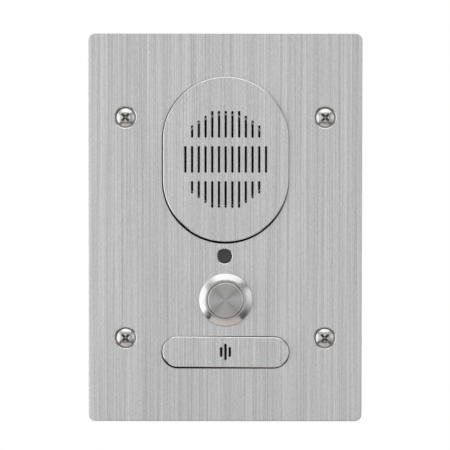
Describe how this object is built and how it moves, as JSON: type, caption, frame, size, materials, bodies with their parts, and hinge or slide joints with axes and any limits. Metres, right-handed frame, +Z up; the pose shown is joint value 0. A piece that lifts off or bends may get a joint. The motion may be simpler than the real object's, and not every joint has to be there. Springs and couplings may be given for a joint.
{
  "type": "intercom door station",
  "caption": "Flush wall intercom station: brushed steel plate with slotted speaker cover, status lens, sprung call button, microphone cover and a rear tub of electronics.",
  "frame": {"origin": "centre of the plate on the wall plane, which is the rear face of the plate's gasket", "axes": "+Y into the wall, +Z up, +X to the right seen from the front"},
  "size_m": [0.1142, 0.0483, 0.1618],
  "materials": {
    "plate_steel": "upright brushed stainless",
    "polished_steel": "polished stainless",
    "spun_steel": "spun stainless",
    "black_foam": "closed-cell foam",
    "black_rubber": "moulded rubber",
    "tub_abs": "fine spark-eroded texture",
    "bracket_plastic": "moulded",
    "smoked_acrylic": "smoked, polished",
    "lamp_epoxy": "cast epoxy",
    "zinc_steel": "bright zinc plate",
    "nickel_brass": "nickel plate",
    "ferrite": "ground ferrite",
    "cone_paper": "black pressed paper",
    "copper_wire": "enamelled wire",
    "spider_cloth": "resin-dipped cloth",
    "spring_steel": "drawn wire",
    "white_nylon": "moulded",
    "black_mesh": "woven",
    "capsule_aluminium": "drawn can",
    "board_laminate": "solder mask",
    "chip_epoxy": "moulded",
    "capacitor_sleeve": "shrunk sleeve",
    "terminal_plastic": "moulded",
    "red_pvc": "extruded",
    "black_pvc": "extruded",
    "grey_pvc": "extruded"
  },
  "bodies": {
    "station": {"faceplate": "plate_steel", "faceplate_gasket": "black_foam", "faceplate_screws": "polished_steel", "faceplate_studs": "zinc_steel", "speaker_cover": "plate_steel", "speaker_cover_seal": "black_foam", "speaker_gasket": "black_foam", "speaker_frame": "zinc_steel", "speaker_surround": "black_rubber", "speaker_spider": "spider_cloth", "speaker_top_plate": "zinc_steel", "speaker_magnet": "ferrite", "speaker_yoke": "zinc_steel", "inner_bracket": "bracket_plastic", "status_lens": "smoked_acrylic", "status_led": "lamp_epoxy", "button_housing": "polished_steel", "button_panel_seal": "black_rubber", "button_shaft_seal": "black_rubber", "button_lock_washer": "zinc_steel", "button_nut": "nickel_brass", "button_return_spring": "spring_steel", "button_base": "bracket_plastic", "button_terminals": "nickel_brass", "mic_cover": "plate_steel", "mic_cover_seal": "black_foam", "mic_mesh": "black_mesh", "mic_boot": "black_rubber", "mic_capsule": "capsule_aluminium", "mic_clamp": "bracket_plastic", "mic_clamp_nuts": "zinc_steel", "board_standoffs": "nickel_brass", "main_board": "board_laminate", "board_chips": "chip_epoxy", "board_capacitors": "capacitor_sleeve", "lead_sockets": "white_nylon", "terminal_block": "terminal_plastic", "terminal_screws": "zinc_steel", "cover_standoffs": "nickel_brass", "rear_cover": "tub_abs", "rear_cover_seal": "black_foam", "rear_cover_screws": "zinc_steel", "cable_grommet": "black_rubber", "speaker_leads": "red_pvc", "button_leads": "black_pvc", "mic_lead": "grey_pvc"},
    "call_button": {"button_cap": "spun_steel", "button_plunger": "white_nylon", "button_contact_ring": "nickel_brass"},
    "speaker_diaphragm": {"speaker_cone": "cone_paper", "speaker_dust_cap": "cone_paper", "voice_coil": "copper_wire"}
  },
  "joints": [
    {"name": "call_button_press", "type": "slide", "parent": "station", "child": "call_button", "axis": [0, 1, 0], "range_m": [0, 0.002], "stiffness_N_per_m": 1000, "springref_m": -0.002, "deforming": ["button_return_spring"]},
    {"name": "speaker_cone_stroke", "type": "slide", "parent": "station", "child": "speaker_diaphragm", "axis": [0, 1, 0], "range_m": [-0.0005, 0.0005], "stiffness_N_per_m": 1200, "deforming": ["speaker_surround", "speaker_spider"]}
  ]
}
